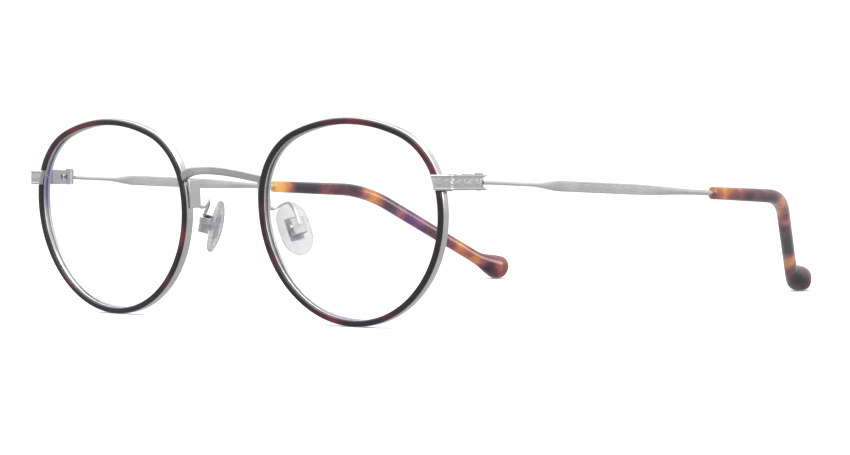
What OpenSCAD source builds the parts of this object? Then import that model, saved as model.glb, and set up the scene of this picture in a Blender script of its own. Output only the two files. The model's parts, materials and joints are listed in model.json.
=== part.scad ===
// Round metal eyeglasses: two ring-faced metal rims with a thin acetate inlay, a saddle bridge,
// screw-on nose pads on bent wire arms, notched endpieces, flattened wire temples with acetate tips.
// Everything is drawn as worn (lens plane upright, X to the wearer's left, Y to the back), then
// leaned so that the finished frame stands on its rims and temple tips.

/* [Lenses and rims] */
// Boxed width of one lens
lens_w = 47; // [44:0.5:50]
// Clear distance between the two lenses over the nose
lens_gap = 23; // [20:0.5:26]
// Wrap of each rim, its outer end turned back
wrap = 2.35; // [0:0.05:6]
// Radius of the upper outer and inner corners of the lens
corner_r = 15.1; // [13:0.1:18]
// Half angle of the flat top stretch of the lens
top_half_angle = 21; // [15:1:26]
// Angle of each corner stretch of the lens
corner_angle = 60; // [54:1:64]
// Radius of the lens front surface
lens_curve = 120; // [90:5:200]
// Thickness of the lens
lens_t = 1.8; // [1.2:0.1:2.4]
// Rim wall that stands outside the lens edge
rim_out = 0.9; // [0.7:0.05:1.2]
// Rim lip that overlaps the lens edge
rim_in = 0.55; // [0.4:0.05:0.8]
// Depth of the metal rim, front to back
rim_depth = 1.9; // [1.5:0.1:2.4]
// Thickness of the acetate inlay on the rim front
inlay_t = 0.6; // [0.4:0.05:1]

/* [Bridge] */
// Height of the bridge crest above the lens centres
bridge_top = 11.0; // [9:0.1:12]
// How far the bridge crest stands in front of the lens plane
bridge_forward = 3.1; // [2:0.1:4]
// Height of the bridge strip
bridge_h = 1.9; // [1.2:0.05:2.4]
// Thickness of the bridge strip
bridge_t = 1.1; // [0.8:0.05:1.6]

/* [Endpieces and hinges] */
// Height of the endpiece and of the hinge
endpiece_h = 3.1; // [2.8:0.1:4]
// Thickness of the endpiece plate
endpiece_t = 1.1; // [0.9:0.05:1.4]
// Distance of the hinge pin from the middle of the nose
hinge_x = 60.35; // [59:0.05:62]
// Distance of the hinge pin behind the lens plane
hinge_y = 13.3; // [12:0.1:15]
// Height of the hinge above the lens centres
hinge_z = 7.6; // [6:0.1:9]
// Radius of the hinge knuckles
knuckle_r = 1.0; // [0.9:0.05:1.2]
// Radius of the hinge screw shank
hinge_pin_r = 0.45; // [0.4:0.01:0.55]
// Radial clearance of the turning knuckle on the hinge screw
running_gap = 0.03; // [0.02:0.01:0.08]

/* [Temples] */
// Downward slope of the temple when worn
temple_drop = 6.28; // [4:0.02:9]
// Outward splay of the open temple
temple_splay = 3.36; // [0:0.02:5]
// Length of the metal temple from hinge pin to acetate tip
temple_l = 75.0; // [70:0.1:80]
// Diameter of the wire behind the hinge
wire_d = 0.8; // [0.7:0.05:1]
// Height of the flattened blade
blade_h = 2.3; // [1.8:0.1:2.8]
// Thickness of the flattened blade
blade_t = 0.75; // [0.6:0.05:1]
// Diameter of the wire where it enters the tip
core_d = 1.2; // [1:0.05:1.4]

/* [Temple tips] */
// Length of the nearly straight start of the tip
tip_straight = 24.4; // [20:0.2:28]
// Length of the bend over the ear
tip_bend = 14.9; // [12:0.1:18]
// Length of the hook behind the ear
tip_hook = 38.6; // [34:0.2:42]
// Inward turn of the straight start
tip_curl = 12.4; // [6:0.2:16]
// Downward turn of the bend
tip_down = 27.7; // [22:0.1:34]
// Inward turn of the bend
tip_in = 18.9; // [8:0.2:20]

/* [Nose pads] */
// Distance of the pad screw from the middle of the nose
pad_x = 13.35; // [12:0.1:15]
// Distance of the pad screw behind the lens plane
pad_y = 9.7; // [8:0.1:11]
// Height of the pad screw above the lens centres
pad_z = -1.95; // [-4:0.1:1]
// Lean of the pad, its top turned towards the nose
pad_lean = 22; // [15:1:35]
// Flare of the pad, its back turned away from the nose
pad_flare = 25; // [15:1:35]
// Pitch of the pad, its top turned towards the lens
pad_pitch = 11; // [0:1:20]
// Length of the pad
pad_l = 11.8; // [11:0.1:15]
// Width of the pad
pad_w = 7.2; // [6:0.1:9]
// Thickness of the pad
pad_t = 1.9; // [1.5:0.1:2.4]

/* [Stand] */
// Lean of the whole frame when it stands on rims and tips
rest_lean = 3.18; // [3:0.02:5]

/* [Hidden] */
$fn = 64;

// Colours
steel = [0.78, 0.78, 0.77];
tortoise_dark = [0.16, 0.07, 0.07];
tortoise = [0.55, 0.26, 0.10];
silicone = [0.90, 0.92, 0.94, 0.6];
clear = [0.86, 0.90, 0.96, 0.35];

// Lens outline: a flat top arc, two corner arcs and one round bottom arc, all tangent
bottom_r = lens_w / 2;
bottom_from = top_half_angle + corner_angle;
top_r = (bottom_r * sin(bottom_from) - corner_r * (sin(bottom_from) - sin(top_half_angle)))
        / sin(top_half_angle);
lens_h = top_r * (1 - cos(top_half_angle))
        + corner_r * (cos(top_half_angle) - cos(bottom_from))
        + bottom_r * (cos(bottom_from) + 1);
bottom_c = bottom_r - lens_h / 2;
top_c = lens_h / 2 - top_r;
corner_cx = (top_r - corner_r) * sin(top_half_angle);
corner_cy = top_c + (top_r - corner_r) * cos(top_half_angle);
lens_x = (lens_w + lens_gap) / 2;
top_steps = 12;
corner_steps = 14;
bottom_steps = 44;

// Rim section, measured from the lens edge and from the middle of the lens groove
rim_front = 0.75;
rim_back = rim_front - rim_depth;
groove_r = 0.1;
groove_h = 0.35;
lens_play = 0.05;
rim_slit = 0.25;
rim_lap = 0.95;
rim_set_back = 1.4;

// Hinge and endpiece layout
wire_x = 1.5;
plate_x = 2.15;
plate_drop = 4.4;
plate_corner_r = 1.7;
plate_front = 0.65 + rim_set_back;
plate_corner = [plate_x - plate_corner_r - 0.65, plate_front - hinge_y + plate_corner_r];
plate_cut = 0.3;
plate_steps = 10;
plate_end = 0.45;
side_splay = 2.9;
side_leg = plate_end - plate_corner[1];
front_leg = 5;
front_t = 0.95;
notch_l = 1.6;
notch_low = 0.6;
notch_high = 2;
knuckle_gap = 0.05;
knuckle_mid_h = 1.0;
leaf_l = 5.2;
leaf_in = 0.2;
leaf_out = 0.15;
web_l = 2.4;
lock_in = 58.3;
lock_out = 60.9;
lock_x = 59.9;
lock_y = 4.55;
lock_l = 2.5;
lock_inset = 0.1;
lock_pin_r = 0.45;
lock_head_r = 0.55;

// Nose pad joint, measured from the pad screw
pad_gap = 1.5;
pad_pin_r = 0.35;
box_wall = 0.4;
box_y = 1.1;
box_h = 3.4;
box_front = -0.9;
box_back = 1.0;
stem_r = 0.8;
stem_w = 2.0;

// Height of the lens centres above the table, and depth of the standing frame's middle
stand_z = (lens_h / 2 + rim_out) * cos(rest_lean) - 0.115;
stand_y = -75.94;

// ---------------------------------------------------------------- placing

// Stands the worn frame on the table
module stand() {
    translate([0, stand_y, stand_z]) rotate([rest_lean, 0, 0]) children();
}

// Draws a left-hand piece as it is, or mirrored for the right
module side(s) {
    stand() mirror([s > 0 ? 0 : 1, 0, 0]) children();
}

// Lens plane: X outwards, Y up, Z to the front
module eye() {
    translate([lens_x, lens_x * tan(wrap) + rim_set_back, 0]) rotate([90, 0, wrap]) children();
}

// Hinge axis: Z along the pin
module at_hinge() {
    translate([hinge_x, hinge_y, hinge_z]) rotate([-temple_drop, 0, 0]) children();
}

// Open temple: Y along the wire
module at_temple() {
    at_hinge() translate([wire_x, 0, 0]) rotate([0, 0, -temple_splay]) children();
}

// Pad screw: Y along the screw, Z up the pad, -X to the nose
module at_pad() {
    translate([pad_x, pad_y, pad_z]) rotate([pad_pitch, 0, 0]) rotate([0, -pad_lean, -pad_flare])
        children();
}

// ---------------------------------------------------------------- lens outline

// Points of the lens outline moved out by d: four tangent arcs, clockwise from the top middle
function outline(d) = concat(
    arc_points([0, top_c], top_r + d, 0, top_half_angle, top_steps / 2),
    arc_points([corner_cx, corner_cy], corner_r + d, top_half_angle, bottom_from, corner_steps),
    arc_points([0, bottom_c], bottom_r + d, bottom_from, 360 - bottom_from, bottom_steps),
    arc_points([-corner_cx, corner_cy], corner_r + d, -bottom_from, -top_half_angle, corner_steps),
    arc_points([0, top_c], top_r + d, -top_half_angle, 0, top_steps / 2)
);
// Points of one arc, its last left to the next arc. Angles run clockwise from straight up.
function arc_points(c, r, from, to, n) = [
    for (i = [0 : n - 1]) let (a = from + (to - from) * i / n) c + r * [sin(a), cos(a)]
];

// A bar along the outline, from offset r0 to r1
module outline_bar(r0, r1, z0, z1) {
    translate([0, 0, z0]) linear_extrude(height = z1 - z0) difference() {
        polygon(outline(r1));
        polygon(outline(r0));
    }
}

// The outline filled to offset r1
module outline_fill(r1, z0, z1) {
    translate([0, 0, z0]) linear_extrude(height = z1 - z0) polygon(outline(r1));
}

// ---------------------------------------------------------------- front

module bridge() {
    half_span = lens_x - bottom_r - rim_out + rim_lap;
    drop = 2.3;
    set_back = bridge_forward + 1.3;
    arch_r = (half_span * half_span + drop * drop) / (2 * drop);
    plan_r = (half_span * half_span + set_back * set_back) / (2 * set_back);
    stand() color(steel) difference() {
        intersection() {
            translate([0, 5, bridge_top - arch_r]) rotate([90, 0, 0])
                difference() {
                    cylinder(r = arch_r + bridge_h / 2, h = 20, $fn = 128);
                    translate([0, 0, -1]) cylinder(r = arch_r - bridge_h / 2, h = 22, $fn = 128);
                }
            translate([0, plan_r - bridge_forward, bridge_top - 10])
                difference() {
                    cylinder(r = plan_r + bridge_t / 2, h = 20, $fn = 128);
                    translate([0, 0, -1]) cylinder(r = plan_r - bridge_t / 2, h = 22, $fn = 128);
                }
            translate([-half_span, -10, bridge_top - 10]) cube([2 * half_span, 20, 20]);
        }
        for (m = [0, 1]) mirror([m, 0, 0]) eye() outline_fill(rim_out, rim_front, 8);
    }
}

module rim(s) {
    side(s) color(steel) difference() {
        eye() difference() {
            outline_bar(-rim_in, rim_out, rim_back, rim_front);
            outline_bar(-rim_in - 1, groove_r, -groove_h, groove_h);
        }
        translate([lens_x, -5, plate_z() - rim_slit / 2]) cube([30, 20, rim_slit]);
    }
}

// Height of the endpiece where it crosses the rim
function plate_z() = hinge_z + (hinge_y - rim_set_back - lens_x * tan(wrap)) * tan(plate_drop);

module inlay_ring(s) {
    edge = 0.1;
    side(s) color(tortoise_dark) difference() {
        eye() outline_bar(-rim_in + edge, rim_out - edge, rim_front, rim_front + inlay_t);
        translate([lens_x, -5, plate_z() - endpiece_h / 2 - lens_play])
            cube([30, 20, endpiece_h + 2 * lens_play]);
    }
}

module lens(s) {
    mid_r = lens_curve - lens_t / 2;
    centre_z = -sqrt(mid_r * mid_r - bottom_r * bottom_r);
    side(s) color(clear) eye() union() {
        intersection() {
            outline_fill(-rim_in - lens_play, -4, 6);
            translate([0, 0, centre_z]) difference() {
                sphere(r = lens_curve, $fn = 128);
                sphere(r = lens_curve - lens_t, $fn = 128);
            }
        }
        outline_bar(-rim_in - 0.6, groove_r - lens_play, -groove_h + lens_play, groove_h - lens_play);
    }
}

// ---------------------------------------------------------------- rim lock

// Block brazed to the outside of the rim, on one side of the slit
module lock_block(z0, z1) {
    difference() {
        translate([lock_in, lock_y - lock_l / 2, z0]) cube([lock_out - lock_in, lock_l, z1 - z0]);
        translate([lock_x, lock_y, z0 - 1]) cylinder(r = lock_pin_r, h = z1 - z0 + 2);
        eye() outline_fill(rim_out, -6, 6);
    }
}

function lock_top() = plate_z() + endpiece_h / 2 - lock_inset;
function lock_low() = plate_z() - endpiece_h / 2 + lock_inset;

module rim_lock_upper(s) {
    side(s) color(steel) lock_block(plate_z() + rim_slit / 2, lock_top());
}

module rim_lock_lower(s) {
    side(s) color(steel) lock_block(lock_low(), plate_z() - rim_slit / 2);
}

module rim_lock_screw(s) {
    head_h = 0.4;
    slot_w = 0.22;
    slot_h = 0.2;
    side(s) color(steel) difference() {
        union() {
            translate([lock_x, lock_y, lock_low()])
                cylinder(r = lock_pin_r, h = lock_top() - lock_low() - lock_inset);
            translate([lock_x, lock_y, lock_low() - head_h]) cylinder(r = lock_head_r, h = head_h);
        }
        translate([lock_x - 1, lock_y - slot_w / 2, lock_low() - head_h - 1])
            cube([2, slot_w, slot_h + 1]);
    }
}

// ---------------------------------------------------------------- endpiece and hinge

// Endpiece in plan, seen from above: a front leg, a round corner, and a long side leg
function endpiece_plan() = let (
    side_dir = [sin(side_splay), cos(side_splay)],
    front_dir = [cos(wrap), sin(wrap)],
    turn = 90 - side_splay - wrap,
    outer = [for (i = [0 : plate_steps]) plate_corner + plate_corner_r * plate_ray(turn * i / plate_steps)],
    inner = [
        for (i = [plate_steps : -1 : 0])
            plate_corner + (plate_corner_r - leg_t(i / plate_steps)) * plate_ray(turn * i / plate_steps)
    ]
) concat(
    [outer[0] - front_leg * front_dir],
    outer,
    [outer[plate_steps] + side_leg * side_dir, inner[0] + side_leg * side_dir],
    inner,
    [inner[plate_steps] - front_leg * front_dir]
);
function plate_ray(a) = [cos(a - 90 + wrap), sin(a - 90 + wrap)];
function leg_t(share) = front_t + (endpiece_t - front_t) * share;

module endpiece(s) {
    side(s) color(steel) difference() {
        translate([hinge_x, hinge_y, hinge_z]) rotate([-plate_drop, 0, 0]) difference() {
            translate([0, 0, -endpiece_h / 2]) linear_extrude(height = endpiece_h) polygon(endpiece_plan());
            swallow_notch();
        }
        eye() outline_fill(plate_cut - rim_in, -6, 6);
    }
}

// Notch in the rear end of the endpiece, where the wire leaves it
module swallow_notch() {
    translate([0, plate_end - notch_l, 0]) rotate([90, 0, 90]) linear_extrude(height = 5)
        polygon([[0, notch_low], [0, -notch_low], [notch_l + 1, -notch_high], [notch_l + 1, notch_high]]);
}

// Upper and lower knuckles with the leaf brazed inside the endpiece
module hinge_front(s) {
    side(s) color(steel) at_hinge() difference() {
        union() {
            for (m = [0, 1]) mirror([0, 0, m]) {
                translate([0, 0, knuckle_mid_h / 2 + knuckle_gap])
                    cylinder(r = knuckle_r, h = knuckle_h());
                translate([-leaf_in, -leaf_l, knuckle_mid_h / 2 + knuckle_gap])
                    cube([knuckle_r + leaf_out, leaf_l, knuckle_h()]);
            }
            translate([-leaf_in, -leaf_l, -endpiece_h / 2])
                cube([knuckle_r + leaf_out, web_l, endpiece_h]);
        }
        translate([0, 0, -3]) cylinder(r = hinge_pin_r, h = 6);
    }
}

function knuckle_h() = endpiece_h / 2 - knuckle_mid_h / 2 - knuckle_gap;

module hinge_screw(s) {
    head_h = 0.35;
    head_r = 0.8;
    slot_w = 0.22;
    side(s) color(steel) at_hinge() difference() {
        union() {
            translate([0, 0, -endpiece_h / 2 - 0.1]) cylinder(r = hinge_pin_r, h = endpiece_h + 0.1);
            translate([0, 0, endpiece_h / 2]) cylinder(r = head_r, h = head_h);
        }
        translate([-1, -slot_w / 2, endpiece_h / 2 + 0.15]) cube([2, slot_w, head_h]);
    }
}

// Middle knuckle and the short arm out to the wire
module hinge_temple(s) {
    side(s) color(steel) at_hinge() difference() {
        union() {
            translate([0, 0, -knuckle_mid_h / 2]) cylinder(r = knuckle_r, h = knuckle_mid_h);
            translate([0, -0.3, -wire_d / 2]) rotate([0, 0, -temple_splay])
                cube([wire_x - wire_d / 2 + 0.1, 2.6, wire_d]);
        }
        translate([0, 0, -3]) cylinder(r = hinge_pin_r + running_gap, h = 6);
    }
}

// ---------------------------------------------------------------- temple

blade_from = 14;
blade_full = 24;
blade_end = 59;
blade_taper = 24;
wire_start = -0.6;
core_l = 22;
tip_from = temple_l;
curl_r = tip_straight / tip_curl * 180 / PI;

module temple(s) {
    side(s) color(steel) at_temple() union() {
        translate([0, wire_start, 0]) rotate([-90, 0, 0])
            cylinder(d = wire_d, h = blade_from + 2 - wire_start);
        translate([-blade_t / 2, 0, 0]) rotate([90, 0, 90]) linear_extrude(height = blade_t)
            polygon(blade_side());
        translate([0, blade_end, 0]) rotate([-90, 0, 0])
            cylinder(d = core_d, h = tip_from + 1 - blade_end);
        core(core_d - 0.1, 0, core_l);
    }
}

// Round bar that follows the inward curl of the tip
module core(d, from, l) {
    translate([-curl_r, tip_from, 0]) rotate_extrude(angle = l / curl_r * 180 / PI, start = from)
        translate([curl_r, 0]) circle(d = d);
}

// Side view of the blade: a long lens shape between the two wires
function blade_side() = concat(
    [for (y = blade_stations()) [y, blade_half(y)]],
    [for (i = [len(blade_stations()) - 1 : -1 : 0]) [blade_stations()[i], -blade_half(blade_stations()[i])]]
);
function blade_stations() = [for (i = [0 : 10]) blade_from + i * (tip_from - 4 - blade_from) / 10];
function blade_half(y) =
    y < blade_full ? wire_d / 2 + (blade_h - wire_d) / 2 * ease((y - blade_from) / (blade_full - blade_from))
    : core_d / 2 + (blade_h - core_d) / 2 * ease((tip_from - 4 - y) / blade_taper);
function ease(t) = (1 - cos(180 * min(1, max(0, t)))) / 2;

// ---------------------------------------------------------------- temple tip

tip_l = tip_straight + tip_bend + tip_hook;
tip_rings = 40;
tip_sides = 16;

// Heading of the tip's centre line after s millimetres: inward turn and downward turn
function tip_yaw(s) = tip_curl * min(1, s / tip_straight) + tip_in * bend_part(s);
function tip_pitch(s) = tip_down * bend_part(s);
function bend_part(s) = min(1, max(0, (s - tip_straight) / tip_bend));
function tip_dir(s) = [
    -sin(tip_yaw(s)) * cos(tip_pitch(s)), cos(tip_yaw(s)) * cos(tip_pitch(s)), -sin(tip_pitch(s))
];
// Up across the tip, square to its centre line
function tip_up(s) = [
    -sin(tip_yaw(s)) * sin(tip_pitch(s)), cos(tip_yaw(s)) * sin(tip_pitch(s)), cos(tip_pitch(s))
];
function tip_out(s) = [cos(tip_yaw(s)), sin(tip_yaw(s)), 0];

// Half height, half thickness, and upward and outward shift of the section
foot_l = 11;
function foot(s) = min(1, max(0, (s - tip_l + foot_l) / foot_l));
function tip_end(s) = sqrt(max(0.02, 1 - pow(max(0, (s - tip_l + 3.4) / 3.4), 2)));
function tip_half_h(s) = (1.4 + 0.2 * min(1, s / 30) + 1.6 * ease(foot(s) * 1.25)) * tip_end(s);
function tip_half_t(s) = (1.15 + 0.35 * min(1, s / 30) + 1.6 * ease(foot(s) * 1.2)) * tip_end(s);
function tip_rise(s) = 1.1 * ease(foot(s) * 1.1);
function tip_bulge(s) = 1.7 * ease(foot(s) * 1.1);

tip_step = tip_l / (tip_rings - 1);
tip_path = [
    for (i = 0, p = [0, 0, 0]; i < tip_rings; p = p + tip_dir((i + 0.5) * tip_step) * tip_step, i = i + 1) p
];
function tip_ring(i) = let (s = i * tip_step) [
    for (k = [0 : tip_sides - 1]) let (a = 360 * k / tip_sides)
        tip_path[i] + tip_up(s) * (tip_rise(s) + tip_half_h(s) * round_off(sin(a)))
        + tip_out(s) * (tip_bulge(s) + tip_half_t(s) * round_off(cos(a)))
];
// Fuller than an ellipse, as a polished bar is
function round_off(c) = sign(c) * pow(abs(c), 0.8);

module temple_tip(s) {
    side(s) color(tortoise) at_temple() translate([0, tip_from, 0]) difference() {
        polyhedron([for (i = [0 : tip_rings - 1]) each tip_ring(i)], tube_faces(tip_rings, tip_sides));
        translate([0, -1, 0]) rotate([-90, 0, 0]) cylinder(d = core_d + 0.04, h = 2.02);
        translate([0, -tip_from, 0]) core(core_d, 0, core_l + 0.5);
    }
}

// ---------------------------------------------------------------- nose pads

arm_d = 0.85;
tab_x = 9.95;
tab_t = 0.75;
tab_y = 1.4;
tab_l = 3.4;
tab_low = 2.2;
tab_high = 8.3;

// Bends of the wire, from the tab to the back of the pad box
arm_knots = [
    [tab_x + tab_t / 2, tab_y + tab_l - 0.9, tab_low + 0.5],
    [10.4, 5.6, 2.2],
    [10.9, 7.3, 2.9],
    [11.8, 8.8, 3.3],
    [12.6, 9.5, 2.2],
    [13.4, 9.5, 0.9],
    [14.2, 9.2, -0.3],
    [14.65, 9.0, -1.4]
];
arm_steps = 4;
arm_sides = 10;
arm_side_dir = [-0.76, 0.65, 0];

// Smooth curve through the knots (Catmull-Rom)
function knot(i) = arm_knots[min(len(arm_knots) - 1, max(0, i))];
function arm_at(i, t) = 0.5 * (
    2 * knot(i) + (knot(i + 1) - knot(i - 1)) * t
    + (2 * knot(i - 1) - 5 * knot(i) + 4 * knot(i + 1) - knot(i + 2)) * t * t
    + (3 * knot(i) - knot(i - 1) - 3 * knot(i + 1) + knot(i + 2)) * t * t * t
);
arm_path = [
    for (i = [0 : len(arm_knots) - 2], j = [0 : arm_steps - 1]) arm_at(i, j / arm_steps),
    knot(len(arm_knots) - 1)
];
function along(path, i) = let (
    d = path[min(len(path) - 1, i + 1)] - path[max(0, i - 1)]
) d / norm(d);

// Round wire along a path, its section built on a fixed sideways direction
module wire(path, d, sides, sideways) {
    points = [
        for (i = [0 : len(path) - 1]) let (
            t = along(path, i),
            up = cross(t, sideways) / norm(cross(t, sideways)),
            out = cross(t, up)
        ) for (k = [0 : sides - 1]) let (a = 360 * k / sides)
            path[i] + d / 2 * (cos(a) * out + sin(a) * up)
    ];
    polyhedron(points, tube_faces(len(path), sides));
}

// Faces of a capped tube of rings, each ring running from "out" towards "up"
function tube_faces(rings, sides) = concat(
    [[for (k = [sides - 1 : -1 : 0]) k]],
    [
        for (i = [0 : rings - 2], k = [0 : sides - 1]) let (n = (k + 1) % sides) each [
            [i * sides + k, i * sides + n, (i + 1) * sides + n],
            [i * sides + k, (i + 1) * sides + n, (i + 1) * sides + k]
        ]
    ],
    [[for (k = [0 : sides - 1]) (rings - 1) * sides + k]]
);

module pad_arm(s) {
    side(s) color(steel) union() {
        translate([tab_x, tab_y, tab_low]) cube([tab_t, tab_l, tab_high - tab_low]);
        wire(arm_path, arm_d, arm_sides, arm_side_dir);
    }
}

// Small channel that holds the pad stem, open to the nose
module pad_box(s) {
    outer_y = box_y + box_wall;
    side(s) color(steel) at_pad() difference() {
        translate([box_front, -outer_y, -box_h / 2])
            cube([box_back + box_wall - box_front, 2 * outer_y, box_h]);
        translate([box_front - 1, -box_y, -box_h / 2 - 1])
            cube([box_back - box_front + 1, 2 * box_y, box_h + 2]);
        rotate([90, 0, 0]) cylinder(r = pad_pin_r, h = 6, center = true);
    }
}

module pad_screw(s) {
    reach = box_y + box_wall;
    head_h = 0.35;
    head_r = 0.65;
    side(s) color(steel) at_pad() rotate([90, 0, 0]) union() {
        translate([0, 0, -reach]) cylinder(r = pad_pin_r, h = 2 * reach);
        translate([0, 0, reach]) cylinder(r = head_r, h = head_h);
    }
}

// Stem on the screw with the plate that the silicone is moulded around
module pad_core(s) {
    plate_t = 0.4;
    plate_h = 5;
    plate_w = 3;
    side(s) color(steel) at_pad() difference() {
        union() {
            rotate([90, 0, 0]) cylinder(r = stem_r, h = stem_w, center = true);
            translate([-pad_gap - 0.6, -stem_w / 2, -0.55]) cube([pad_gap + 0.6, stem_w, 1.1]);
            translate([-pad_gap - 0.6 - plate_t, -plate_w / 2, -plate_h / 2])
                cube([plate_t, plate_w, plate_h]);
        }
        rotate([90, 0, 0]) cylinder(r = pad_pin_r + running_gap, h = 6, center = true);
    }
}

// Silicone pad: an oval with a crowned face towards the nose
module nose_pad(s) {
    end_r = pad_w / 2;
    reach = pad_l / 2 - end_r;
    crown_r = 16;
    side(s) color(silicone) at_pad() difference() {
        intersection() {
            translate([-pad_gap, 0, 0]) rotate([0, -90, 0]) union() {
                for (m = [-1, 1]) translate([m * reach, 0, 0]) cylinder(r = end_r, h = pad_t);
                translate([-reach, -end_r, 0]) cube([2 * reach, pad_w, pad_t]);
            }
            translate([crown_r - pad_gap - pad_t, 0, 0]) sphere(r = crown_r, $fn = 96);
        }
        translate([-pad_gap - 0.6, -stem_w / 2, -0.55]) cube([pad_gap + 1, stem_w, 1.1]);
        translate([-pad_gap - 1, -1.5, -2.5]) cube([0.4, 3, 5]);
    }
}

// ---------------------------------------------------------------- nodes

bridge();
rim(1);  // rim_left
inlay_ring(1);  // inlay_ring_left
lens(1);  // lens_left
rim_lock_upper(1);  // rim_lock_upper_left
rim_lock_lower(1);  // rim_lock_lower_left
rim_lock_screw(1);  // rim_lock_screw_left
endpiece(1);  // endpiece_left
hinge_front(1);  // hinge_front_left
hinge_screw(1);  // hinge_screw_left
hinge_temple(1);  // hinge_temple_left
temple(1);  // temple_left
temple_tip(1);  // temple_tip_left
pad_arm(1);  // pad_arm_left
pad_box(1);  // pad_box_left
pad_screw(1);  // pad_screw_left
pad_core(1);  // pad_core_left
nose_pad(1);  // nose_pad_left
rim(-1);  // rim_right
inlay_ring(-1);  // inlay_ring_right
lens(-1);  // lens_right
rim_lock_upper(-1);  // rim_lock_upper_right
rim_lock_lower(-1);  // rim_lock_lower_right
rim_lock_screw(-1);  // rim_lock_screw_right
endpiece(-1);  // endpiece_right
hinge_front(-1);  // hinge_front_right
hinge_screw(-1);  // hinge_screw_right
hinge_temple(-1);  // hinge_temple_right
temple(-1);  // temple_right
temple_tip(-1);  // temple_tip_right
pad_arm(-1);  // pad_arm_right
pad_box(-1);  // pad_box_right
pad_screw(-1);  // pad_screw_right
pad_core(-1);  // pad_core_right
nose_pad(-1);  // nose_pad_right
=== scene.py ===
"""Looks of the round metal eyeglasses: polished silver rims with a dark acetate inlay, satin bridge,
engraved endpieces and flattened wire temples, tortoise acetate tips and clear silicone nose pads.
Lengths are millimetres in the worn frame until place() puts them into the row frame."""

import json
from math import acos, cos, degrees, exp, hypot, pi, radians, sin, sqrt, tan

import bmesh
import bpy
from mathutils import Matrix, Quaternion, Vector


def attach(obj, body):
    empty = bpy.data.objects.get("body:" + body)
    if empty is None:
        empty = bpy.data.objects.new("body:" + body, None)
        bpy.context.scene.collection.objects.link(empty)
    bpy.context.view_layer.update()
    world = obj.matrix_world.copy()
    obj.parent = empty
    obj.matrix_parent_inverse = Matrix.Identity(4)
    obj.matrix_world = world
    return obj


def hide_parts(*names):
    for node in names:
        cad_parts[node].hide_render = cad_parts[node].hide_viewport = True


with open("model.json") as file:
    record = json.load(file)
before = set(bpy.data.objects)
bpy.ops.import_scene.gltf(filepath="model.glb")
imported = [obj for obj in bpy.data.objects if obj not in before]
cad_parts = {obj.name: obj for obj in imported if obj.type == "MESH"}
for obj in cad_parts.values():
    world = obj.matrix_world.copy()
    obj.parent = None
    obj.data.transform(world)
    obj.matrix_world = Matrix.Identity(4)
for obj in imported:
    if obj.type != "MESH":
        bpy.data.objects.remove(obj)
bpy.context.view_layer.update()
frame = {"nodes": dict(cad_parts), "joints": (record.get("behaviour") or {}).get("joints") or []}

# ------------------------------------------------------------------ driving dimensions

MM = 0.001

# Lenses and rims. Depths are measured from the middle of the lens groove.
LENS_W = 47.0
LENS_GAP = 23.0
WRAP = 2.35
CORNER_R = 15.1
TOP_HALF_ANGLE = 21.0
CORNER_ANGLE = 60.0
LENS_CURVE = 120.0
LENS_T = 1.8
LENS_PLAY = 0.05
RIM_OUT = 0.9
RIM_IN = 0.55
RIM_FRONT = 0.75
RIM_BACK = -1.15
RIM_SLIT = 0.25
RIM_SET_BACK = 1.4
GROOVE_R = 0.1
GROOVE_H = 0.35
INLAY_T = 0.6
INLAY_EDGE = 0.1

# Bridge
BRIDGE_TOP = 11.0
BRIDGE_FORWARD = 3.1
BRIDGE_H = 1.9
BRIDGE_T = 1.1
BRIDGE_DROP = 2.3
BRIDGE_SET_BACK = BRIDGE_FORWARD + 1.3
BRIDGE_LAP = 0.95

# Endpiece, drawn from the hinge pin
HINGE_AT = Vector((60.35, 13.3, 7.6))
PLATE_DROP = 4.4
PLATE_H = 3.1
PLATE_T = 1.1
FRONT_T = 0.95
PLATE_CORNER_R = 1.7
PLATE_CUT = 0.3
PLATE_X = 2.15
PLATE_INSET = 0.65
PLATE_CORNER = Vector((PLATE_X - PLATE_INSET - PLATE_CORNER_R,
                       PLATE_INSET + RIM_SET_BACK - HINGE_AT.y + PLATE_CORNER_R))
SIDE_SPLAY = 2.9
FRONT_LEG = 5.0
PLATE_END = 0.45
NOTCH_L = 1.6
NOTCH_LOW = 0.6
NOTCH_WIDEN = 1.4 / 2.6

# Temple
TEMPLE_DROP = 6.28
TEMPLE_SPLAY = 3.36
TEMPLE_L = 75.0
WIRE_X = 1.5
WIRE_D = 0.8
WIRE_START = -0.6
BLADE_H = 2.3
BLADE_T = 0.75
BLADE_FROM = 14.0
BLADE_FULL = 24.0
BLADE_TAPER = 24.0
BLADE_STOP = TEMPLE_L - 4
ENGRAVING_END = 59.0
CORE_D = 1.2

# Temple tip
TIP_STRAIGHT = 24.4
TIP_BEND = 14.9
TIP_HOOK = 38.6
TIP_L = TIP_STRAIGHT + TIP_BEND + TIP_HOOK
TIP_CURL = 12.4
TIP_DOWN = 27.7
TIP_IN = 18.9
TIP_CLOSE = 3.4
FOOT_L = 11.0

# Nose pad and its arm
PAD_AT = Vector((13.35, 9.7, -1.95))
PAD_LEAN = 22.0
PAD_FLARE = 25.0
PAD_PITCH = 11.0
PAD_L = 11.8
PAD_W = 7.2
PAD_T = 1.9
PAD_GAP = 1.5
ARM_D = 0.85
TAB_X = 9.95
TAB_T = 0.75
TAB_Y = 1.4
TAB_L = 3.4
TAB_LOW = 2.2
TAB_HIGH = 8.3

REST_LEAN = 3.18

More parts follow.
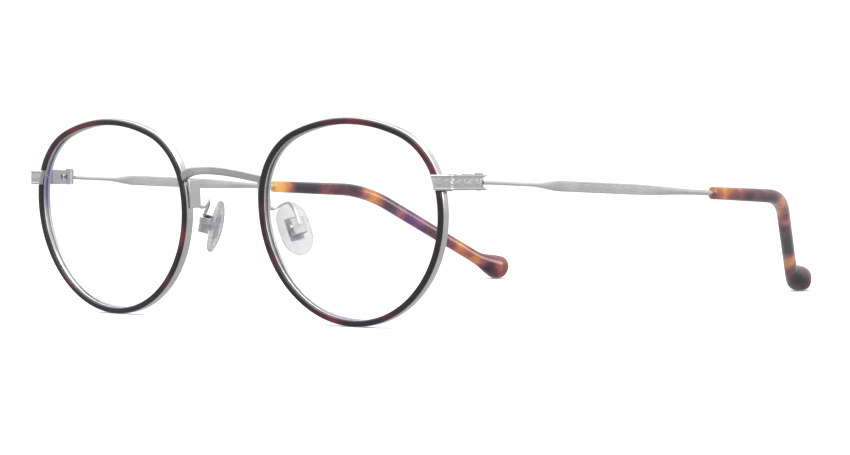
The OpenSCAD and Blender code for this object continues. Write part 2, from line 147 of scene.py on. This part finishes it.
# Lens outline: a flat top arc, two corner arcs and a round bottom arc, all tangent
BOTTOM_R = LENS_W / 2
BOTTOM_FROM = TOP_HALF_ANGLE + CORNER_ANGLE
_sin_top, _sin_low = sin(radians(TOP_HALF_ANGLE)), sin(radians(BOTTOM_FROM))
_cos_top, _cos_low = cos(radians(TOP_HALF_ANGLE)), cos(radians(BOTTOM_FROM))
TOP_R = (BOTTOM_R * _sin_low - CORNER_R * (_sin_low - _sin_top)) / _sin_top
LENS_H = TOP_R * (1 - _cos_top) + CORNER_R * (_cos_top - _cos_low) + BOTTOM_R * (_cos_low + 1)
TOP_C = Vector((0, LENS_H / 2 - TOP_R))
BOTTOM_C = Vector((0, BOTTOM_R - LENS_H / 2))
CORNER_C = Vector(((TOP_R - CORNER_R) * _sin_top, TOP_C.y + (TOP_R - CORNER_R) * _cos_top))
LENS_X = (LENS_W + LENS_GAP) / 2


# ------------------------------------------------------------------ frames


def turn(angle, axis):
    return Matrix.Rotation(radians(angle), 4, axis)


def shift(*at):
    return Matrix.Translation(Vector(at))


hinge_in_row = next(j for j in frame["joints"] if j["name"] == "temple_left_fold")["pos_m"]
LEAN = turn(REST_LEAN, "X")
STAND = Matrix.Translation(Vector(hinge_in_row) / MM - LEAN @ HINGE_AT) @ LEAN
EYE = shift(LENS_X, LENS_X * tan(radians(WRAP)) + RIM_SET_BACK, 0) @ turn(WRAP, "Z") @ turn(90, "X")
PLATE = Matrix.Translation(HINGE_AT) @ turn(-PLATE_DROP, "X")
TEMPLE = (Matrix.Translation(HINGE_AT) @ turn(-TEMPLE_DROP, "X") @ shift(WIRE_X, 0, 0)
          @ turn(-TEMPLE_SPLAY, "Z"))
PAD = Matrix.Translation(PAD_AT) @ turn(PAD_PITCH, "X") @ turn(-PAD_FLARE, "Z") @ turn(-PAD_LEAN, "Y")
PLATE_Z = HINGE_AT.z + (HINGE_AT.y - RIM_SET_BACK - LENS_X * tan(radians(WRAP))) * tan(radians(PLATE_DROP))

# ------------------------------------------------------------------ mesh tools


def place(name, parts, local, side, body, look, node, sharp=38, along=None):
    """Makes one piece, in place in the row frame, from (points, faces) parts drawn in a left-hand frame."""
    to_row = Matrix.Diagonal((side * MM, MM, MM, 1)) @ STAND @ local
    bm = bmesh.new()
    values = bm.verts.layers.float.new("along")
    for points, faces in parts:
        made = [bm.verts.new(to_row @ Vector(p)) for p in points]
        if along:
            for v, p in zip(made, points):
                v[values] = along(Vector(p))
        for f in faces:
            bm.faces.new([made[i] for i in f])
    bmesh.ops.recalc_face_normals(bm, faces=bm.faces)
    mesh = bpy.data.meshes.new(name)
    bm.to_mesh(mesh)
    bm.free()
    for p in mesh.polygons:
        p.use_smooth = True
    mesh.set_sharp_from_angle(angle=radians(sharp))
    mesh.materials.append(look)
    piece = bpy.data.objects.new(name, mesh)
    bpy.context.scene.collection.objects.link(piece)
    weighted = piece.modifiers.new("even shading", "WEIGHTED_NORMAL")
    weighted.keep_sharp = True
    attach(piece, body)
    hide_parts(node)
    return piece


def skin(rings, loop=False, caps=True):
    """Points and faces over rings of points that all have the same count."""
    n, m = len(rings[0]), len(rings)
    points = [p for ring in rings for p in ring]
    faces = []
    for i in range(m if loop else m - 1):
        a, b = i * n, (i + 1) % m * n
        for k in range(n):
            j = (k + 1) % n
            faces.append((a + k, a + j, b + j, b + k))
    if caps and not loop:
        faces.append(tuple(range(n)))
        faces.append(tuple((m - 1) * n + k for k in range(n)))
    return points, faces


def rounded(corners, steps=4):
    """A closed section with its corners filleted. Each corner is (x, y, radius)."""
    points = []
    for i, (x, y, r) in enumerate(corners):
        p = Vector((x, y))
        if not r:
            points.append(p)
            continue
        u = (Vector(corners[i - 1][:2]) - p).normalized()
        v = (Vector(corners[(i + 1) % len(corners)][:2]) - p).normalized()
        half = u.angle(v) / 2
        centre = p + (u + v).normalized() * (r / sin(half))
        a, b = p + u * (r / tan(half)) - centre, p + v * (r / tan(half)) - centre
        points += [centre + a.slerp(b, k / steps).normalized() * r for k in range(steps + 1)]
    return points


def bar(half_h, half_t, fullness=0.8, sides=32):
    """Section of a polished bar, fuller than an ellipse: (height, thickness) pairs."""
    out = []
    for k in range(sides):
        c, s = cos(2 * pi * k / sides), sin(2 * pi * k / sides)
        out.append((half_h * abs(s) ** fullness * (1 if s > 0 else -1),
                    half_t * abs(c) ** fullness * (1 if c > 0 else -1)))
    return out


def ease(t):
    return (1 - cos(pi * min(1, max(0, t)))) / 2


def ridge(distance, width):
    return exp(-((distance / width) ** 2))


# ------------------------------------------------------------------ looks


def add(tree, kind, inputs=None, **settings):
    node = tree.nodes.new("ShaderNode" + kind)
    for k, v in settings.items():
        setattr(node, k, v)
    for k, v in (inputs or {}).items():
        if isinstance(v, bpy.types.NodeSocket):
            tree.links.new(v, node.inputs[k])
        else:
            node.inputs[k].default_value = v
    return node


def new_look(name):
    look = bpy.data.materials.new(name)
    look.use_nodes = True
    look.node_tree.nodes.clear()
    return look, look.node_tree


def ramp(tree, value, *stops):
    """A colour ramp. Each stop is (position, red, green, blue)."""
    node = add(tree, "ValToRGB", {"Fac": value})
    band = node.color_ramp
    band.elements.remove(band.elements[1])
    for i, (at, *colour) in enumerate(stops):
        element = band.elements.new(at) if i else band.elements[0]
        element.position = at
        element.color = (*colour, 1)
    return node.outputs["Color"]


def grey(at, level):
    return at, level, level, level


def noise(tree, scale, detail=2.0, roughness=0.5, vector=None):
    where = vector or add(tree, "TexCoord").outputs["Object"]
    return add(tree, "TexNoise", {"Vector": where, "Scale": scale, "Detail": detail,
                                  "Roughness": roughness}).outputs["Fac"]


def output(tree, shader):
    add(tree, "OutputMaterial", {"Surface": shader})


def metal(name, dark, light, rough_low, rough_high):
    """Plated metal with a faint, fine unevenness in tone and gloss."""
    look, tree = new_look(name)
    grain = noise(tree, 900, 3)
    cloud = noise(tree, 160, 2)
    rough = add(tree, "MapRange", {"Value": grain, "From Min": 0.3, "From Max": 0.7,
                                   "To Min": rough_low, "To Max": rough_high}).outputs["Result"]
    bump = add(tree, "Bump", {"Strength": 0.06, "Distance": 0.00002, "Height": grain}).outputs["Normal"]
    output(tree, add(tree, "BsdfPrincipled", {
        "Base Color": ramp(tree, cloud, (0.35, *dark), (0.65, *light)),
        "Metallic": 1.0, "Roughness": rough, "Normal": bump}).outputs["BSDF"])
    return look


silver = metal("polished silver", (0.74, 0.74, 0.73), (0.84, 0.84, 0.83), 0.16, 0.26)
satin = metal("satin silver", (0.56, 0.56, 0.56), (0.66, 0.66, 0.65), 0.32, 0.44)
steel = metal("turned steel", (0.50, 0.50, 0.50), (0.62, 0.62, 0.62), 0.28, 0.42)


def dark_acetate():
    look, tree = new_look("dark acetate")
    patches = noise(tree, 70, 2, 0.45)
    colour = ramp(tree, patches, (0.54, 0.006, 0.005, 0.006), (0.62, 0.05, 0.006, 0.014),
                  (0.72, 0.17, 0.012, 0.035))
    output(tree, add(tree, "BsdfPrincipled", {
        "Base Color": colour, "Roughness": 0.16, "Coat Weight": 0.3, "Coat Roughness": 0.08}).outputs["BSDF"])
    return look


def tortoise_acetate():
    """Amber patches on dark maroon. The along value makes the start, the bend and the hook more amber."""
    look, tree = new_look("tortoise acetate")
    along = add(tree, "Attribute", attribute_name="along").outputs["Fac"]
    patches = noise(tree, 120, 3, 0.5)
    warm = ramp(tree, along, grey(0.0, 0.62), grey(0.06, 0.58), grey(0.11, 0.32),
                grey(0.36, 0.36), grey(0.44, 0.56), grey(0.50, 0.34), grey(0.68, 0.34),
                grey(0.76, 0.52), grey(0.84, 0.30), grey(1.0, 0.40))
    total = add(tree, "Math", {0: patches, 1: warm}, operation="ADD").outputs["Value"]
    half = add(tree, "Math", {0: total, 1: 0.5}, operation="MULTIPLY").outputs["Value"]
    colour = ramp(tree, half, (0.38, 0.012, 0.009, 0.013), (0.43, 0.075, 0.016, 0.030),
                  (0.48, 0.20, 0.055, 0.050), (0.54, 0.42, 0.16, 0.035), (0.62, 0.62, 0.30, 0.06))
    output(tree, add(tree, "BsdfPrincipled", {
        "Base Color": colour, "Roughness": 0.14, "Coat Weight": 0.6, "Coat Roughness": 0.06}).outputs["BSDF"])
    return look


def clear_silicone():
    look, tree = new_look("clear silicone")
    facing = add(tree, "LayerWeight", {"Blend": 0.35}).outputs["Facing"]
    milk = noise(tree, 300, 1)
    # painted shade: the base colour goes from light grey in the middle to dark grey at the grazing edges of
    # the pad (by facing), in place of the dark edges that refraction gives clear silicone; the fine noise
    # adds a milky tone that varies at random
    painted_edge_shade_and_milk = add(tree, "Math", {0: facing, 1: milk}, operation="MULTIPLY").outputs["Value"]
    alpha = add(tree, "MapRange", {"Value": facing, "To Min": 0.38, "To Max": 0.98}).outputs["Result"]
    colour = ramp(tree, painted_edge_shade_and_milk, (0.0, 0.44, 0.44, 0.46), (0.25, 0.24, 0.24, 0.25), (0.5, 0.10, 0.10, 0.11))
    output(tree, add(tree, "BsdfPrincipled", {
        "Base Color": colour,
        "Roughness": 0.18, "Alpha": alpha, "Coat Weight": 0.4}).outputs["BSDF"])
    return look


def coated_lens():
    """Almost clear, with a painted violet reflection: the gloss is strong and violet only in a band across
    the lower outer part.
    """
    look, tree = new_look("coated lens")
    along = add(tree, "Attribute", attribute_name="along").outputs["Fac"]
    # painted reflection: how much violet gloss shows, and its colour, are set by position on the lens,
    # peaking in a band across its lower outer part
    share = ramp(tree, along, grey(0.0, 0.01), grey(0.58, 0.02), grey(0.72, 0.11),
                 grey(0.80, 0.11), grey(0.87, 0.02), grey(1.0, 0.01))
    painted_reflection_tint = ramp(tree, along, (0.0, 0.90, 0.90, 0.92), (0.56, 0.86, 0.86, 0.94), (0.72, 0.40, 0.34, 1.0),
                (0.80, 0.36, 0.32, 1.0), (0.88, 0.88, 0.88, 0.92))
    clear = add(tree, "BsdfTransparent").outputs["BSDF"]
    gloss = add(tree, "BsdfAnisotropic", {"Color": painted_reflection_tint, "Roughness": 0.08}).outputs["BSDF"]
    output(tree, add(tree, "MixShader", {0: share, 1: clear, 2: gloss}).outputs["Shader"])
    return look


dark_ring = dark_acetate()
tortoise = tortoise_acetate()
silicone = clear_silicone()
glass = coated_lens()

# ------------------------------------------------------------------ lens outline


def outline(angle, d):
    """Point of the lens edge, moved out by d, where outwards is that many degrees clockwise from up."""
    a = (angle + 180) % 360 - 180
    out = Vector((sin(radians(a)), cos(radians(a))))
    if abs(a) <= TOP_HALF_ANGLE:
        return TOP_C + out * (TOP_R + d)
    if abs(a) <= BOTTOM_FROM:
        return Vector((CORNER_C.x * (1 if a > 0 else -1), CORNER_C.y)) + out * (CORNER_R + d)
    return BOTTOM_C + out * (BOTTOM_R + d)


def around(start, stop, step=0.45):
    """Outward directions from start to stop, about step millimetres apart."""
    angles, a = [], start
    while a < stop:
        angles.append(a)
        t = abs((a + 180) % 360 - 180)
        r = TOP_R if t < TOP_HALF_ANGLE else CORNER_R if t < BOTTOM_FROM else BOTTOM_R
        a += degrees(step / r)
    return angles + [stop]


def cut(height, d):
    """Direction in which the outline moved out by d reaches a height on its outer side."""
    return degrees(acos((height - CORNER_C.y) / (CORNER_R + d)))


def ring_at(angles, section):
    return [Vector((*outline(a, d), z)) for a, (d, z) in zip(angles, section)]


def split_ring(section, gap):
    """A section swept round the lens, open over a gap centred on the endpiece, its ends cut level."""
    low = [cut(PLATE_Z - gap / 2, d) for d, z in section]
    high = [360 + cut(PLATE_Z + gap / 2, d) for d, z in section]
    inner = around(max(low) + 0.6, min(high) - 0.6)
    rings = [ring_at(low, section)]
    rings += [ring_at([a] * len(section), section) for a in inner]
    rings += [ring_at(high, section)]
    return skin(rings)


# ------------------------------------------------------------------ front


def rim_section():
    return rounded([
        (-RIM_IN, RIM_FRONT, 0.08), (-RIM_IN, GROOVE_H + 0.08, 0.05), (GROOVE_R, GROOVE_H, 0),
        (GROOVE_R, -GROOVE_H, 0), (-RIM_IN, -GROOVE_H - 0.08, 0.05), (-RIM_IN, RIM_BACK, 0.15),
        (RIM_OUT - 0.16, RIM_BACK, 0.15), (RIM_OUT, RIM_BACK + 0.42, 0.4),
        (RIM_OUT, RIM_FRONT - 0.3, 0.3), (RIM_OUT - 0.12, RIM_FRONT, 0.06),
    ])


def inlay_section():
    inner, outer, top = -RIM_IN + INLAY_EDGE, RIM_OUT - INLAY_EDGE, RIM_FRONT + INLAY_T
    return rounded([
        (inner, RIM_FRONT, 0.03), (outer, RIM_FRONT, 0.03), (outer, top, 0.26), (inner, top, 0.26)
    ], 5)


def lens_skin():
    """Meniscus lens with a stepped edge that sits in the rim groove."""
    centre_z = -sqrt((LENS_CURVE - LENS_T / 2) ** 2 - BOTTOM_R**2)
    seen = -RIM_IN - LENS_PLAY
    angles = around(0, 360)[:-1]
    turns = 14

    def face(radius, share):
        ring = []
        for a in angles:
            p = outline(a, seen) * share
            ring.append(Vector((p.x, p.y, centre_z + sqrt(radius**2 - p.length_squared))))
        return ring

    def edge(d, z):
        return [Vector((*outline(a, d), z)) for a in angles]

    shares = [(i + 1) / turns for i in range(turns)]
    step = GROOVE_H - LENS_PLAY
    rings = [face(LENS_CURVE, s) for s in shares]
    tongue, chamfer = GROOVE_R - LENS_PLAY, 0.1
    rings += [edge(seen, step), edge(tongue, step - chamfer), edge(tongue, chamfer - step), edge(seen, -step)]
    rings += [face(LENS_CURVE - LENS_T, s) for s in reversed(shares)]
    return skin(rings)


def bridge_skin():
    """Saddle strip: an arch seen from the front and a bow seen from above, its face softly crowned."""
    half_span = LENS_X - BOTTOM_R - RIM_OUT + BRIDGE_LAP
    arch_r = (half_span**2 + BRIDGE_DROP**2) / (2 * BRIDGE_DROP)
    plan_r = (half_span**2 + BRIDGE_SET_BACK**2) / (2 * BRIDGE_SET_BACK)
    hh, ht = BRIDGE_H / 2, BRIDGE_T / 2
    section = rounded([(hh, -ht, 0.18), (hh, ht - 0.12, 0.2), (hh * 0.6, ht, 0.3), (-hh * 0.6, ht, 0.3),
                       (-hh, ht - 0.12, 0.2), (-hh, -ht, 0.18)], 4)
    rings, stations = [], 72
    for i in range(stations + 1):
        x = half_span * (2 * i / stations - 1)
        at = Vector((x, plan_r - BRIDGE_FORWARD - sqrt(plan_r**2 - x * x),
                     BRIDGE_TOP - arch_r + sqrt(arch_r**2 - x * x)))
        up = Vector((x / arch_r, 0, sqrt(1 - (x / arch_r) ** 2)))
        out = Vector((x / plan_r, -sqrt(1 - (x / plan_r) ** 2), 0))
        slim = 1 - 0.1 * (x / half_span) ** 2
        rings.append([at + up * v * slim + out * w for v, w in section])
    return skin(rings)


# ------------------------------------------------------------------ endpiece

PLATE_TURN = 90 - SIDE_SPLAY - WRAP
ARC_L = PLATE_CORNER_R * radians(PLATE_TURN)
SIDE_LEG = PLATE_END - PLATE_CORNER.y


def plate_at(s):
    """(point, outward direction, wall) of the endpiece in plan, s past the start of its corner."""
    share = min(1, max(0, s / ARC_L))
    a = radians(share * PLATE_TURN - 90 + WRAP)
    out = Vector((cos(a), sin(a)))
    ahead = Vector((-out.y, out.x))
    point = PLATE_CORNER + out * PLATE_CORNER_R + ahead * (min(0, s) + max(0, s - ARC_L))
    return point, out, FRONT_T + (PLATE_T - FRONT_T) * share


def leg_start(v):
    """Where the front leg starts at height v: on the inner edge of the rim."""
    to_eye = EYE.inverted() @ PLATE
    low, high = -FRONT_LEG, 0.0
    for _ in range(24):
        mid = (low + high) / 2
        p, out, wall = plate_at(mid)
        e = to_eye @ Vector((p.x, p.y, v))
        outside = (e.xy - CORNER_C).length > CORNER_R - RIM_IN + PLATE_CUT
        low, high = (low, mid) if outside else (mid, high)
    return high


def leg_end(v):
    """Where the side leg ends at height v: a swallow-tail notch around the wire."""
    open_l = (abs(v) - NOTCH_LOW) / NOTCH_WIDEN
    return ARC_L + SIDE_LEG - NOTCH_L + min(NOTCH_L, max(0, open_l))


def scrolls(s, v, pitch=1.75):
    """Height of a generic scroll pattern: a vine with a curl in each bend."""
    vine = ridge(v - 0.42 * sin(pi * s / pitch), 0.10)
    k = round(s / pitch - 0.5)
    middle = Vector(((k + 0.5) * pitch, -0.22 * (1 if k % 2 == 0 else -1)))
    reach = hypot(s - middle.x, v - middle.y)
    curl = ridge(reach - 0.40, 0.09)
    bud = ridge(reach, 0.14)
    return min(1, vine + curl + bud)


def relief(s, v, s_from, s_to):
    """How far the engraved field lies below the polished border of the endpiece."""
    edge = min(PLATE_H / 2 - abs(v), s - s_from, s_to - s)
    field = ease((edge - 0.30) / 0.16)
    return field * (0.05 - 0.045 * scrolls(s, v))


def endpiece_skin():
    across, lengthways = 30, 190
    round_r = 0.16
    rows = [PLATE_H * (j / across - 0.5) for j in range(across + 1)]
    outer, inner = [], []
    for v in rows:
        s_from, s_to = leg_start(v), leg_end(v)
        softened = max(0, round_r - (PLATE_H / 2 - abs(v)))
        line_out, line_in = [], []
        for i in range(lengthways + 1):
            s = s_from + (s_to - s_from) * i / lengthways
            p, out, wall = plate_at(s)
            near_end = max(0, round_r - min(s - s_from, s_to - s))
            fall = 0.6 * max(softened, near_end) + relief(s, v, s_from, s_to)
            q = p - out * fall
            line_out.append(Vector((q.x, q.y, v)))
            q = p - out * wall
            line_in.append(Vector((q.x, q.y, v)))
        outer.append(line_out)
        inner.append(line_in)
    rings = []
    for i in range(lengthways + 1):
        rings.append([row[i] for row in outer] + [row[i] for row in reversed(inner)])
    return skin(rings, caps=False), end_caps(rings)


def end_caps(rings):
    """Two end faces of a plate swept as paired rows, as strips of quads."""
    points, faces = [], []
    for ring in (rings[0], rings[-1]):
        base, n = len(points), len(ring)
        points += ring
        for j in range(n // 2 - 1):
            faces.append((base + j, base + j + 1, base + n - 2 - j, base + n - 1 - j))
    return points, faces


# ------------------------------------------------------------------ temple


def flatness(y):
    """0 where the temple is round wire, 1 where it is the full blade."""
    return ease((y - BLADE_FROM) / (BLADE_FULL - BLADE_FROM)) * ease((BLADE_STOP - y) / BLADE_TAPER)


def temple_half(y, blade):
    """Half the height or thickness of the temple, from the blade's own height or thickness."""
    wire = WIRE_D if y < BLADE_FULL else CORE_D
    return wire / 2 + (blade - wire) / 2 * flatness(y)


def temple_skin():
    """Wire that flattens into a blade with a light engraved vine, then becomes round again at the tip."""
    rings, y = [], WIRE_START
    while y < TEMPLE_L + 1:
        engraved = ease((y - BLADE_FULL) / 6) * ease((ENGRAVING_END - y) / 6)
        flat = flatness(y)
        hh, ht = temple_half(y, BLADE_H), temple_half(y, BLADE_T)
        ring = []
        for v, w in bar(hh, ht, 1 - 0.45 * flat, 40):
            side = ease((hh * 0.78 - abs(v)) / 0.2)
            depth = 0.05 * engraved * side * (1 - scrolls(y, v * 0.9, 2.2))
            w -= depth * (1 if w > 0 else -1) * (1 if abs(w) > ht * 0.5 else 0)
            ring.append(Vector((w, y, v)))
        rings.append(ring)
        y += 0.16 if engraved else 0.8
    return skin(rings)


# ------------------------------------------------------------------ temple tip


def tip_frame(s):
    """(forward, up, out) of the tip's centre line after s millimetres."""
    bend = min(1, max(0, (s - TIP_STRAIGHT) / TIP_BEND))
    yaw = radians(TIP_CURL * min(1, s / TIP_STRAIGHT) + TIP_IN * bend)
    pitch = radians(TIP_DOWN * bend)
    ahead = Vector((-sin(yaw) * cos(pitch), cos(yaw) * cos(pitch), -sin(pitch)))
    up = Vector((-sin(yaw) * sin(pitch), cos(yaw) * sin(pitch), cos(pitch)))
    return ahead, up, Vector((cos(yaw), sin(yaw), 0))


def tip_skin():
    rings, at = [], Vector((0, TEMPLE_L, 0))
    count = round(TIP_L / 0.25)
    step = TIP_L / count
    for i in range(count + 1):
        s = TIP_L * i / count
        _, up, out = tip_frame(s)
        foot = min(1, max(0, (s - TIP_L + FOOT_L) / FOOT_L))
        close = sqrt(max(0.004, 1 - max(0, (s - TIP_L + TIP_CLOSE) / TIP_CLOSE) ** 2))
        start = 1 - 0.12 * max(0, 1 - s / 0.35) ** 2
        half_h = (1.4 + 0.2 * min(1, s / 30) + 1.6 * ease(foot * 1.25)) * close * start
        half_t = (1.15 + 0.35 * min(1, s / 30) + 1.6 * ease(foot * 1.2)) * close * start
        rise, bulge = 1.1 * ease(foot * 1.1), 1.7 * ease(foot * 1.1)
        rings.append([at + up * (rise + v) + out * (bulge + w) for v, w in bar(half_h, half_t)])
        at = at + tip_frame(s + step / 2)[0] * step
    return skin(rings)


def tip_share(p):
    return min(1.0, max(0.0, (p.y - TEMPLE_L) / (TIP_L * 0.93)))


# ------------------------------------------------------------------ nose pads


def pad_skin():
    """Soft oval, crowned towards the nose, thin at its rim and slightly dished at the back."""
    turns, sides = 14, 72
    reach, end_r = (PAD_L - PAD_W) / 2, PAD_W / 2

    def oval(k, share):
        a = 2 * pi * k / sides
        y, z = end_r * sin(a), end_r * cos(a)
        return Vector((y, z + reach * (1 if z > 0 else -1) * abs(cos(a)) ** 0.35)) * share

    def face(share, rise):
        return [Vector((-PAD_GAP - rise, *oval(k, share))) for k in range(sides)]

    rings = []
    for i in range(1, turns + 1):
        share = i / turns
        rings.append(face(share * 0.955, PAD_T * (1 - 0.55 * share**2.2)))
    for k in range(1, 6):
        a = pi * k / 6
        rings.append(face(0.955 + 0.045 * sin(a), PAD_T * (0.225 + 0.2 * cos(a))))
    for i in range(turns, 0, -1):
        share = i / turns
        rings.append(face(share * 0.955, PAD_T * 0.05))
    return skin(rings)


ARM_KNOTS = [
    Vector((TAB_X + TAB_T / 2, TAB_Y + TAB_L - 0.9, TAB_LOW + 0.5)), Vector((10.4, 5.6, 2.2)),
    Vector((10.9, 7.3, 2.9)), Vector((11.8, 8.8, 3.3)), Vector((12.6, 9.5, 2.2)), Vector((13.4, 9.5, 0.9)),
    Vector((14.2, 9.2, -0.3)), Vector((14.65, 9.0, -1.4)),
]


def arm_skins():
    """Solder tab on the back of the rim and the bent wire to the pad box."""
    n = len(ARM_KNOTS)
    path = []
    for i in range(n - 1):
        a, b, c, d = (ARM_KNOTS[min(n - 1, max(0, i + k))] for k in (-1, 0, 1, 2))
        for j in range(10):
            t = j / 10
            path.append(0.5 * (2 * b + (c - a) * t + (2 * a - 5 * b + 4 * c - d) * t * t
                               + (3 * b - a - 3 * c + d) * t**3))
    path.append(ARM_KNOTS[-1])
    sideways = Vector((-0.76, 0.65, 0))
    rings = []
    for i, p in enumerate(path):
        ahead = (path[min(len(path) - 1, i + 1)] - path[max(0, i - 1)]).normalized()
        up = ahead.cross(sideways).normalized()
        out = ahead.cross(up)
        rings.append([p + out * (ARM_D / 2 * cos(2 * pi * k / 20)) + up * (ARM_D / 2 * sin(2 * pi * k / 20))
                      for k in range(20)])
    tab = rounded([(TAB_X, TAB_Y, 0.15), (TAB_X + TAB_T, TAB_Y, 0.15), (TAB_X + TAB_T, TAB_Y + TAB_L, 0.3),
                   (TAB_X, TAB_Y + TAB_L, 0.3)])
    heights = [(TAB_LOW, 0.88), (TAB_LOW + 0.08, 0.96), (TAB_LOW + 0.2, 1.0),
               (TAB_HIGH - 0.2, 1.0), (TAB_HIGH - 0.08, 0.96), (TAB_HIGH, 0.88)]
    middle = Vector((TAB_X + TAB_T / 2, TAB_Y + TAB_L / 2))
    block = [[Vector((*(middle + (p - middle) * share), z)) for p in tab] for z, share in heights]
    return [skin(rings), skin(block)]


# ------------------------------------------------------------------ build both sides


def lens_share(p):
    """0 at the upper inner part of the lens, 1 at its lower outer part; it places the painted reflection
    band.
    """
    return min(1.0, max(0.0, 0.5 + (p.x * 0.75 - p.y * 0.65) / LENS_W))


place("bridge_strip", [bridge_skin()], Matrix.Identity(4), 1, "front", satin, "bridge")
for side, hand in ((1, "left"), (-1, "right")):
    place(f"rim_wire_{hand}", [split_ring(rim_section(), RIM_SLIT)], EYE, side, "front",
          silver, f"rim_{hand}")
    place(f"inlay_{hand}", [split_ring(inlay_section(), PLATE_H + 2 * LENS_PLAY)], EYE, side, "front",
          dark_ring, f"inlay_ring_{hand}")
    place(f"clear_lens_{hand}", [lens_skin()], EYE, side, "front", glass, f"lens_{hand}",
          along=lens_share)
    place(f"engraved_endpiece_{hand}", endpiece_skin(), PLATE, side, "front", satin,
          f"endpiece_{hand}")
    place(f"temple_blade_{hand}", [temple_skin()], TEMPLE, side, f"temple_{hand}", silver,
          f"temple_{hand}")
    place(f"acetate_tip_{hand}", [tip_skin()], TEMPLE, side, f"temple_{hand}", tortoise,
          f"temple_tip_{hand}", along=tip_share)
    place(f"pad_wire_{hand}", arm_skins(), Matrix.Identity(4), side, "front", silver,
          f"pad_arm_{hand}")
    place(f"silicone_pad_{hand}", [pad_skin()], PAD, side, f"pad_{hand}", silicone,
          f"nose_pad_{hand}")

KEPT = {
    "rim_lock_upper": satin, "rim_lock_lower": satin, "rim_lock_screw": steel, "hinge_front": satin,
    "hinge_screw": steel, "hinge_temple": satin, "pad_box": silver, "pad_screw": steel, "pad_core": steel,
}
for node, look in KEPT.items():
    for hand in ("left", "right"):
        part = frame["nodes"][f"{node}_{hand}"]
        part.data.materials.clear()
        part.data.materials.append(look)
        soft = part.modifiers.new("worn edges", "BEVEL")
        soft.width, soft.segments, soft.limit_method = 0.07 * MM, 2, "ANGLE"
        soft.angle_limit = radians(40)

# ------------------------------------------------------------------ floor, lights, camera

floor_mesh = bpy.data.meshes.new("floor")
floor_mesh.from_pydata([(-30, -30, 0), (30, -30, 0), (30, 30, 0), (-30, 30, 0)], [], [(0, 1, 2, 3)])
floor = bpy.data.objects.new("floor", floor_mesh)
bpy.context.scene.collection.objects.link(floor)
floor_look, floor_tree = new_look("white paper")
output(floor_tree, add(floor_tree, "BsdfDiffuse", {"Color": (0.96, 0.96, 0.96, 1)}).outputs["BSDF"])
floor_mesh.materials.append(floor_look)
floor.visible_glossy = False

world = bpy.data.worlds.new("studio")
world.use_nodes = True
tree = world.node_tree
tree.nodes.clear()
height = add(tree, "SeparateXYZ", {"Vector": add(tree, "TexCoord").outputs["Generated"]}).outputs["Z"]
level = add(tree, "MapRange", {"Value": height, "From Min": -1.0, "From Max": 1.0}).outputs["Result"]
around_object = ramp(tree, level, (0.0, 0.50, 0.50, 0.51), (0.42, 0.52, 0.52, 0.53), (0.50, 0.60, 0.60, 0.61),
                     (0.60, 0.78, 0.78, 0.79), grey(1.0, 0.85))
seen = add(tree, "LightPath").outputs["Is Camera Ray"]
tone = add(tree, "MixRGB", {0: seen, 1: around_object, 2: (1, 1, 1, 1)}).outputs["Color"]
glow = add(tree, "Background", {"Color": tone, "Strength": 1.0}).outputs["Background"]
add(tree, "OutputWorld", {"Surface": glow})
bpy.context.scene.world = world


def direction(azimuth, elevation):
    """Unit vector from the glasses. Azimuth 0 is straight in front, 90 is the wearer's left."""
    a, e = radians(azimuth), radians(elevation)
    return Vector((sin(a) * cos(e), -cos(a) * cos(e), sin(e)))


def softbox(name, azimuth, elevation, distance, size, power):
    """A square lamp that faces the glasses."""
    data = bpy.data.lights.new(name, "AREA")
    data.size, data.energy = size, power
    lamp = bpy.data.objects.new(name, data)
    back = direction(azimuth, elevation)
    lamp.location = back * distance
    lamp.rotation_mode = "QUATERNION"
    lamp.rotation_quaternion = (-back).to_track_quat("-Z", "Y")
    bpy.context.scene.collection.objects.link(lamp)


softbox("key", 5, 55, 1.1, 1.1, 8)
softbox("side strip", 100, 20, 1.0, 0.4, 2.2)
softbox("fill", -60, 35, 1.2, 0.9, 4)
sun_data = bpy.data.lights.new("overhead", "SUN")
sun_data.energy, sun_data.angle = 1.2, radians(100)
sun = bpy.data.objects.new("overhead", sun_data)
bpy.context.scene.collection.objects.link(sun)

AIM = Vector((0.0344, -0.04816, 0.01963))
VIEW_AZIMUTH = 39.93
VIEW_ELEVATION = 2.32
VIEW_DISTANCE = 0.606
VIEW_ROLL = -0.44
camera_data = bpy.data.cameras.new("camera")
camera_data.lens, camera_data.sensor_width = 120.9, 36
camera_data.shift_x = -0.0035
camera_data.clip_start, camera_data.clip_end = 0.01, 100
camera = bpy.data.objects.new("camera", camera_data)
back = direction(VIEW_AZIMUTH, VIEW_ELEVATION)
camera.location = AIM + back * VIEW_DISTANCE
camera.rotation_mode = "QUATERNION"
camera.rotation_quaternion = (-back).to_track_quat("-Z", "Y") @ Quaternion((0, 0, 1), radians(VIEW_ROLL))
bpy.context.scene.collection.objects.link(camera)
bpy.context.scene.camera = camera
bpy.context.scene.view_settings.view_transform = "Standard"
